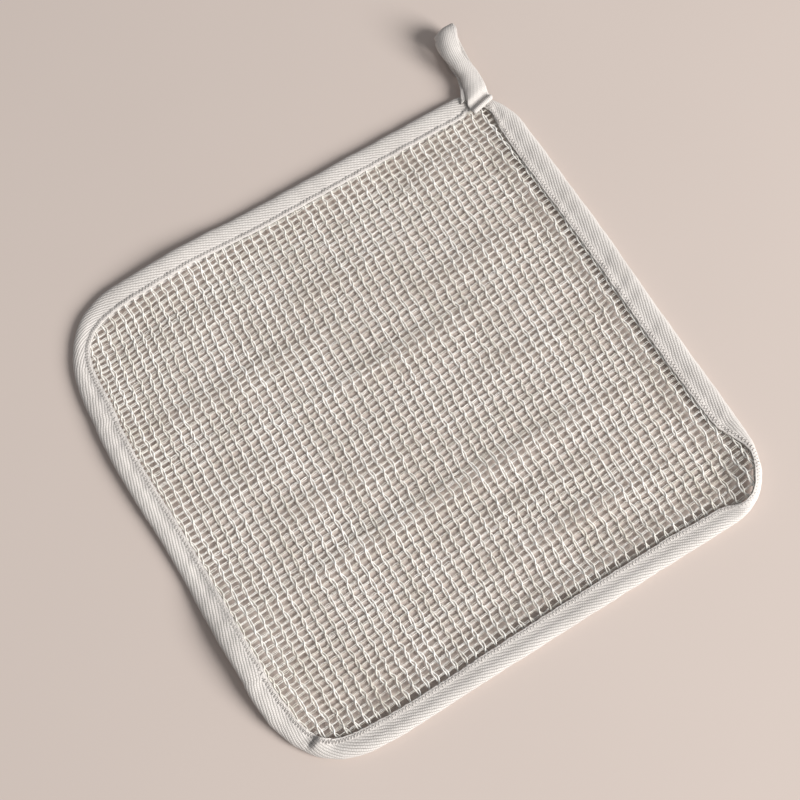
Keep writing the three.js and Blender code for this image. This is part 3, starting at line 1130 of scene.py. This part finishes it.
@dataclass
class EdgeTape:
    """The twill tape folded over the net's edge."""

    shape: ClothShape
    skin: float = 0.85
    upper_round: float = 2.0
    lower_round: float = 1.6
    crown: float = 0.4
    groove_from_inner: float = 3.9
    groove_breadth: float = 2.5
    groove: float = 0.5
    shallower: tuple[tuple[Side, float], ...] = ((Side.NEAR, 0.8), (Side.RIGHT, 0.4), (Side.FAR, 0.3))
    far_groove_shift: float = 1.4
    crown_from_fold: float = 3.8
    crown_breadth: float = 3.6
    far_droop: tuple[float, float] = (0.2, 0.7)
    lit_droop: tuple[float, float] = (0.15, 0.8)
    far_pace: float = 0.25
    near_pace: float = 0.15
    pucker: float = 0.2
    pucker_gap: float = 9.0
    stitch_inner: float = 0.45
    stitch_outer: float = 2.5
    stitch_gap: float = 0.85
    stitch_radius: float = 0.18
    stitch_drops: tuple[tuple[float, float], ...] = ((0.0, -0.3), (0.2, 0.08), (0.8, 0.08), (1.0, -0.3))
    pleat: tuple[float, float] = (-119.0, -110.5)
    pleat_fold: float = 1.1
    pleat_lump: float = 1.9

    def _top(self, i: int, depth: Array) -> Array:
        """The height of the tape's upper face.

        Args:
            i: the station.
            depth: how far in from the fold.

        Returns:
            Its height over the surface the cloth lies on.
        """
        shape, full = self.shape, self.shape.edge_height
        near, right, far = (float(shape.facing(side)[i]) for side in (Side.NEAR, Side.RIGHT, Side.FAR))
        flat = shape.flat_part
        away = math.hypot(shape.outer[i, 0] - flat.x, shape.outer[i, 1] - flat.y)
        groove = self.groove * (1 - flat.amount * float(bump(away / flat.reach)))
        for side, share in self.shallower:
            groove *= 1 - share * float(shape.facing(side)[i])
        groove *= 1 + 0.45 * float(wander(shape.gone[i], 65, 2.4))
        rounding = np.sqrt(np.clip(1 - (1 - np.clip(depth / self.upper_round, 0, 1)) ** 2, 0, 1))
        from_inner = float(shape.covered[i]) - depth
        from_groove = from_inner - self.groove_from_inner + self.far_groove_shift * far
        relief = self.crown * (1 - 0.6 * right) * bump((depth - self.crown_from_fold) / self.crown_breadth)
        relief = relief - groove * bump(from_groove / self.groove_breadth)
        for (drop, reach), share in ((self.far_droop, far), (self.lit_droop, max(near, right))):
            relief = relief - drop * share * bump(from_inner / reach)
        return full / 2 + full / 2 * rounding + relief * np.clip(depth / self.upper_round, 0, 1)

    def _section(self, i: int) -> tuple[Array, Array]:
        """The tape's section at one station.

        Args:
            i: the station.

        Returns:
            Depth from the fold and height of each point, and its way across the unfolded tape.
        """
        full, cover = self.shape.edge_height, float(self.shape.covered[i])
        turn = np.linspace(0, 1, 9)[1:]
        rim = self.upper_round * (1 - np.sin(turn * math.pi / 2))
        above = np.concatenate([[cover], np.linspace(cover - 0.12, self.upper_round, 17), rim])
        back = np.linspace(0, 1, 6)[1:]
        under = self.lower_round * (1 - np.cos(back * math.pi / 2))
        hollow = full / 2 - full / 2 * np.sqrt(1 - (1 - under / self.lower_round) ** 2)
        below = np.column_stack([under, hollow])
        flat = np.column_stack([np.linspace(self.lower_round, cover, 7)[1:], np.zeros(6)])
        outside = np.vstack([np.column_stack([above, self._top(i, above)]), below, flat])
        inside = np.array([cover, max(0.6 * cover, 2.7), 2.6])
        ceiling = self._top(i, inside) - self.skin
        floor = np.column_stack([inside, np.full(3, self.skin)])
        within = np.vstack([floor, [[1.6, full / 2]], np.column_stack([inside, ceiling])[::-1]])
        across = gone_along(outside)
        across = np.concatenate([across, np.linspace(across[-1] + self.skin, 0, len(within) + 1)[:-1]])
        return np.vstack([outside, within]), across

    def _settle(self, i: int, depth: Array, height: Array) -> Array:
        """Where points of one station's section lie on the cloth.

        Args:
            i: the station.
            depth: how far in from the fold each point is.
            height: its height over the surface the cloth lies on, with the cloth laid flat.

        Returns:
            X, Y and Z of each point.
        """
        shape, s = self.shape, self.shape.gone[i]
        share = depth / float(shape.covered[i])
        wave = (0.16 * float(wander(s + 400, 62, 6.0)) + 0.1 * float(wander(s, 63, 1.4))) * (1 - share)
        wave = wave + 0.22 * float(wander(s, 64, 1.3)) * share
        plan = shape.outer[i] + shape.inward[i] * (depth - wave)[:, None]
        curl = shape.curl_fold + (shape.curl_inner - shape.curl_fold) * share
        curl = curl * shape.curl_at(shape.outer[i : i + 1])
        over = smooth((height / shape.edge_height - 0.5) / 0.4) * np.clip(share * 2, 0, 1)
        pucker = self.pucker * wander(s + 0.4 * depth, 61, self.pucker_gap / 2) * over
        past = s - self._pleat_at() - 0.35 * (depth - 5)
        lump = self.pleat_lump * smooth(past / 1.8) * (1 - smooth((past - 3) / 9))
        dip = 0.5 * bump((past + 3) / 5)
        fold = ((lump - dip) * smooth(share * 2) - self.pleat_fold * bump(past / 1.4)) * over
        return np.column_stack([plan, height + shape.lift_at(plan) + curl + pucker + fold])

    def _pleat_at(self) -> float:
        """How far along the outline the pleat at the corner is."""
        away = np.hypot(*(self.shape.outer - np.array(self.pleat)).T)
        return float(self.shape.gone[int(away.argmin())])

    def _clearness(self, i: int, depth: Array) -> Array:
        """How clear the ribs and the painted shade in their grooves are: less where the edge curls up,
        where it is sewn and on the right's rim; the curl and the rim face the light, so they are painted
        lighter.

        Args:
            i: the station.
            depth: how far in from the fold each point is.

        Returns:
            The clearness at each point, from 0 to 1.
        """
        right = float(smooth((self.shape.outer[i, 0] - 118) / 6))
        sewn = 0.6 * (1 - smooth((self.shape.covered[i] - depth - 2.2) / 1.2))
        # Less painted groove shade where the tape faces the light: painted light on the right's rim and
        # the curled corner.
        rim = 0.55 * right * bump(depth / 5)
        curled = 0.75 * self.shape.curl_at(self.shape.outer[i : i + 1]) * bump(depth / 11)
        return 1 - curled - rim - sewn

    def _add_stitches(self, parts: MeshParts) -> None:
        """Adds the zigzag of stitches along the tape's inner edge.

        Args:
            parts: the mesh they go into.
        """
        shape = self.shape
        ends = (self.stitch_outer, self.stitch_inner)
        for leg in range(int(shape.gone[-1] / self.stitch_gap)):
            start, end = ends[leg % 2], ends[1 - leg % 2]
            path = []
            for share, drop in self.stitch_drops:
                gone = (leg + share) * self.stitch_gap
                i = min(int(gone / shape.gone[1]), len(shape.outer) - 1)
                part = (gone - shape.gone[i]) / shape.gone[1]
                depth = np.array([float(shape.covered[i]) - (start + (end - start) * share)])
                at = self._settle(i, depth, self._top(i, depth) + drop)[0]
                run = shape.outer[(i + 1) % len(shape.outer)] - shape.outer[i]
                path.append(at + np.append(run * part, 0.0))
            add_tube(parts, np.array(path), self.stitch_radius, self.stitch_radius, 4, 1.0)

    def build(self, finish: Material) -> Object:
        """Builds the tape all the way round and dresses it.

        Args:
            finish: the tape's material.

        Returns:
            The tape with its stitches.
        """
        shape = self.shape
        rings, uvs, tones = [], [], []
        pace = 1 + self.far_pace * shape.facing(Side.FAR) + self.near_pace * shape.facing(Side.NEAR)
        gone = np.concatenate([[0], np.cumsum(np.diff(shape.gone) * pace)])
        for i in range(len(shape.outer)):
            section, across = self._section(i)
            tones.append(np.clip(self._clearness(i, section[:, 0]), 0.1, 1.0))
            rings.append(self._settle(i, section[:, 0], section[:, 1]))
            uvs.append(np.column_stack([np.full(len(across) + 1, gone[i]), np.append(across, 0.0)]))
        uvs.append(np.column_stack([np.full(len(uvs[0]), gone[-1]), uvs[0][:, 1]]))
        parts = MeshParts()
        add_skin(parts, np.array(rings)[:, ::-1], np.array(uvs)[:, ::-1], True, np.array(tones)[:, ::-1])
        self._add_stitches(parts)
        tape = parts.build("edge_tape")
        tape.data.materials.append(finish)
        return tape


@dataclass
class HangingLoop:
    """The loop of folded tape, doubled back and sewn on one corner."""

    rows: tuple[StrapRow, ...] = (
        StrapRow(113.2, 111.4, 5.2, 12.6, 1.6, 0, 13),
        StrapRow(113.3, 112.5, 5.9, 13.2, 2.3, 0, 13),
        StrapRow(113.2, 114.0, 4.5, 13.0, 1.0, 0, 13),
        StrapRow(113.2, 116.4, 4.8, 13.2, 1.0, 0, 13),
        StrapRow(113.6, 118.6, 7.2, 12.6, 1.6, 0, 12, 15),
        StrapRow(115.0, 124, 8.4, 10.8, 1.6, 0, 8, 48),
        StrapRow(115.9, 130, 9.7, 9.3, 1.6, 5, 4, 74),
        StrapRow(115.2, 135.5, 10.8, 8.6, 1.8, 12, 0, 86),
        StrapRow(114.6, 140.5, 11.6, 9.8, 1.8, 12, 0, 86),
        StrapRow(115.2, 146, 12.9, 12.4, 1.7, 6, 0, 82),
        StrapRow(116.4, 151.3, 13.6, 14.4, 1.6, 0, 0, 76),
        StrapRow(117.0, 154.8, 12.4, 13.4, 1.5, 0, 0, 64),
        StrapRow(117.6, 156.4, 8.6, 12.2, 1.5, 0, 0, 30),
        StrapRow(118.4, 154.2, 4.6, 11.4, 1.5, 0),
        StrapRow(118.2, 149.5, 2.7, 11.2, 1.5, 0),
        StrapRow(117.2, 141, 2.2, 11.2, 1.5, 0),
        StrapRow(116.4, 133, 3, 10.4, 1.5, 0),
        StrapRow(113.9, 126.6, 4.6, 10.4, 1.5, 0, 4),
        StrapRow(112.0, 123, 4.9, 11.0, 1.5, 0, 8),
        StrapRow(110.4, 119.4, 4.9, 12.2, 1.5, 0, 10),
    )
    rings: int = 170
    level_share: float = 0.35
    ruffle: float = 0.12

    def _path(self) -> tuple[Array, Array]:
        """Draws the strap's middle line through the rows' middles.

        Returns:
            Its points, and the row number at each.
        """
        points = np.array([[row.x, row.y, row.z] for row in self.rows])
        padded = np.vstack([2 * points[0] - points[1], points, 2 * points[-1] - points[-2]])
        at = np.linspace(0, len(points) - 1, self.rings)
        low = np.minimum(at.astype(int), len(points) - 2)
        t = (at - low)[:, None]
        p0, p1, p2, p3 = (padded[low + k] for k in range(4))
        second, third = 2 * p0 - 5 * p1 + 4 * p2 - p3, 3 * p1 - p0 - 3 * p2 + p3
        return 0.5 * (2 * p1 + (p2 - p0) * t + second * t**2 + third * t**3), at

    def _section(self, width: float, thickness: float, flank: float) -> tuple[Array, Array]:
        """The folded strap's section, with its fold on the right and its two selvedges on the left.

        Args:
            width: the strap's breadth.
            thickness: the height of both layers together.
            flank: how steeply its left edge hangs down, in degrees.

        Returns:
            Its points across and through the strap, and their way across the unfolded tape.
        """
        w, t = width / 2, thickness / 2
        upper = np.column_stack([np.linspace(-w, w - t, 16), np.full(16, t)])
        upper[0, 1] *= 0.7
        turn = np.linspace(0, math.pi, 9)[1:-1]
        bend = np.column_stack([w - t + t * np.sin(turn), t * np.cos(turn)])
        lower = upper[::-1] * np.array([1, -1])
        depth = w - 1.6 * t
        slit = np.array([[-w, -0.06], [0, -0.05], [depth, -0.04], [depth, 0.04], [0, 0.05], [-w, 0.06]])
        outside = np.vstack([upper, bend, lower])
        across = gone_along(outside)
        across = np.concatenate([across, np.linspace(across[-1], 0, len(slit) + 1)[:-1]])
        return self._arched(np.vstack([outside, slit]), w, math.radians(max(flank, 0.1))), across

    def _arched(self, section: Array, half: float, flank: float) -> Array:
        """Bends the left part of a flat section down.

        Args:
            section: points across and through the strap.
            half: half the strap's breadth.
            flank: the slope at its left edge, in radians.

        Returns:
            The bent section, with its middle over the same place.
        """
        level = self.level_share
        slope = flank * np.clip((level - section[:, 0] / half) / (1 + level), 0, 1)
        bent = half * (1 + level) / flank
        x = np.where(slope > 0, level * half - bent * np.sin(slope), section[:, 0])
        x = x - section[:, 1] * np.sin(slope)
        z = section[:, 1] * np.cos(slope) - bent * (1 - np.cos(slope))
        return np.column_stack([x - (half + level * half - bent * math.sin(flank)) / 2, z])

    def build(self, finish: Material) -> Object:
        """Builds the loop and dresses it.

        Args:
            finish: the strap's material.

        Returns:
            The loop.
        """
        line, at = self._path()
        number = np.arange(len(self.rows))
        width, thickness, roll, yaw, flank = (
            np.interp(at, number, [getattr(row, name) for row in self.rows])
            for name in ("width", "thickness", "roll", "yaw", "flank")
        )
        along = np.gradient(line, axis=0)
        along[:, 0] = 0
        along = unit(along)
        gone = gone_along(line)
        rings, uvs = [], []
        for i in range(len(line)):
            section, across = self._section(float(width[i]), float(thickness[i]), float(flank[i]))
            turn = Matrix.Rotation(math.radians(roll[i]), 3, Vector(along[i]))
            level = Matrix.Rotation(math.radians(yaw[i]), 3, "Z") @ Vector((1, 0, 0))
            sideways = np.array(turn @ level)
            face = np.cross(sideways, along[i])
            face /= np.linalg.norm(face)
            ruffle = self.ruffle * float(wander(gone[i], 71, 2.5))
            share = section[:, 0] / (width[i] / 2)
            through = section[:, 1] + ruffle * share**2
            rings.append(line[i] + section[:, :1] * sideways + through[:, None] * face)
            uvs.append(np.column_stack([np.full(len(across) + 1, gone[i]), np.append(across, 0.0)]))
        parts = MeshParts()
        tone = np.ones((len(rings), rings[0].shape[0]))
        add_skin(parts, np.array(rings)[:, ::-1], np.array(uvs)[:, ::-1], False, tone)
        loop = parts.build("loop_strap")
        loop.data.materials.append(finish)
        return loop


@dataclass
class Studio:
    """The pale floor, the soft light and the camera at the photographed angle."""

    floor_side: float = 3.0
    lens: float = 60.75
    sensor: float = 36.0
    camera_at: tuple[float, float, float] = (-100.26, -156.04, 598.16)
    camera_right: tuple[float, float, float] = (0.85118, -0.52488, 0.0)
    camera_up: tuple[float, float, float] = (0.50050, 0.81165, 0.30121)
    key_azimuth: float = -55.0
    key_height: float = 31.0
    key_distance: float = 3.7
    key_side: float = 2.1
    key_power: float = 226.0
    key_color: tuple[float, float, float] = (1.0, 0.985, 0.96)
    fill: float = 0.3
    fill_color: Color = (0.97, 0.98, 1.0, 1)

    def build(self) -> None:
        """Builds the floor, the lights and the camera."""
        self._build_floor()
        self._build_lights()
        self._build_camera()

    def _toward_key(self, height: float) -> Vector:
        """The way to the light, seen at a height in degrees."""
        azimuth, up = math.radians(self.key_azimuth), math.radians(height)
        return Vector((math.cos(up) * math.cos(azimuth), math.cos(up) * math.sin(azimuth), math.sin(up)))

    def _build_floor(self) -> None:
        """A single plain sheet at the height the cloth lies on."""
        half = self.floor_side / 2
        mesh = bpy.data.meshes.new("floor")
        corners = [(-half, -half, 0), (half, -half, 0), (half, half, 0), (-half, half, 0)]
        mesh.from_pydata(corners, [], [(0, 1, 2, 3)])
        floor = link("floor", mesh)
        mesh.materials.append(FloorFinish().material(self._toward_key(0.0)))

    def _build_lights(self) -> None:
        """One large soft light from the photograph's right, and an even pale surrounding."""
        toward = self._toward_key(self.key_height)
        light = bpy.data.lights.new("key", "AREA")
        light.shape = "DISK"
        light.size = self.key_side
        light.energy = self.key_power
        light.color = self.key_color
        key = link("key", light)
        key.location = toward * self.key_distance
        key.rotation_euler = toward.to_track_quat("Z", "Y").to_euler()
        world = bpy.data.worlds.new("surroundings")
        world.use_nodes = True
        background = world.node_tree.nodes["Background"]
        background.inputs["Color"].default_value = self.fill_color
        background.inputs["Strength"].default_value = self.fill
        bpy.context.scene.world = world
        bpy.context.scene.view_settings.view_transform = "Standard"

    def _build_camera(self) -> None:
        """The camera, where the photograph was taken from."""
        right, up = Vector(self.camera_right).normalized(), Vector(self.camera_up).normalized()
        back = right.cross(up)
        data = bpy.data.cameras.new("camera")
        data.lens = self.lens
        data.sensor_width = self.sensor
        data.sensor_fit = "HORIZONTAL"
        data.clip_start = 0.01
        camera = link("camera", data)
        place = Matrix((right, up, back)).transposed().to_4x4()
        place.translation = Vector((np.array(self.camera_at) + CLOTH_MIDDLE) * MM)
        camera.matrix_world = place
        bpy.context.scene.camera = camera


def main() -> None:
    """Builds the washcloth piece by piece over its frame."""
    logging.basicConfig(level=logging.INFO, format="%(name)s: %(message)s")
    shape = ClothShape()
    yarn, tape = YarnFinish().material(), TapeFinish().material()
    strap_look = {"relief": (1.0, 0.3), "rib_pitch": 0.85, "groove_shade": 0.55}
    # The loop's copy of the tape finish is darker than the edge tape's: painted shade on a strap that
    # stands up facing the light.
    strap = TapeFinish("loop_tape_shaded", (0.7, 0.66, 0.63, 1), **strap_look).material()
    strips = Net(shape).build(yarn)
    for strip in strips:
        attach(strip, "root")
        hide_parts("mesh_panel")
        log.info("%s: %d faces", strip.name, len(strip.data.polygons))
    edge = EdgeTape(shape).build(tape)
    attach(edge, "root")
    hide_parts("binding")
    log.info("edge_tape: %d faces", len(edge.data.polygons))
    loop = HangingLoop().build(strap)
    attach(loop, "root")
    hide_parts("hanging_loop")
    log.info("loop_strap: %d faces", len(loop.data.polygons))
    Studio().build()


if __name__ == "__main__":
    main()
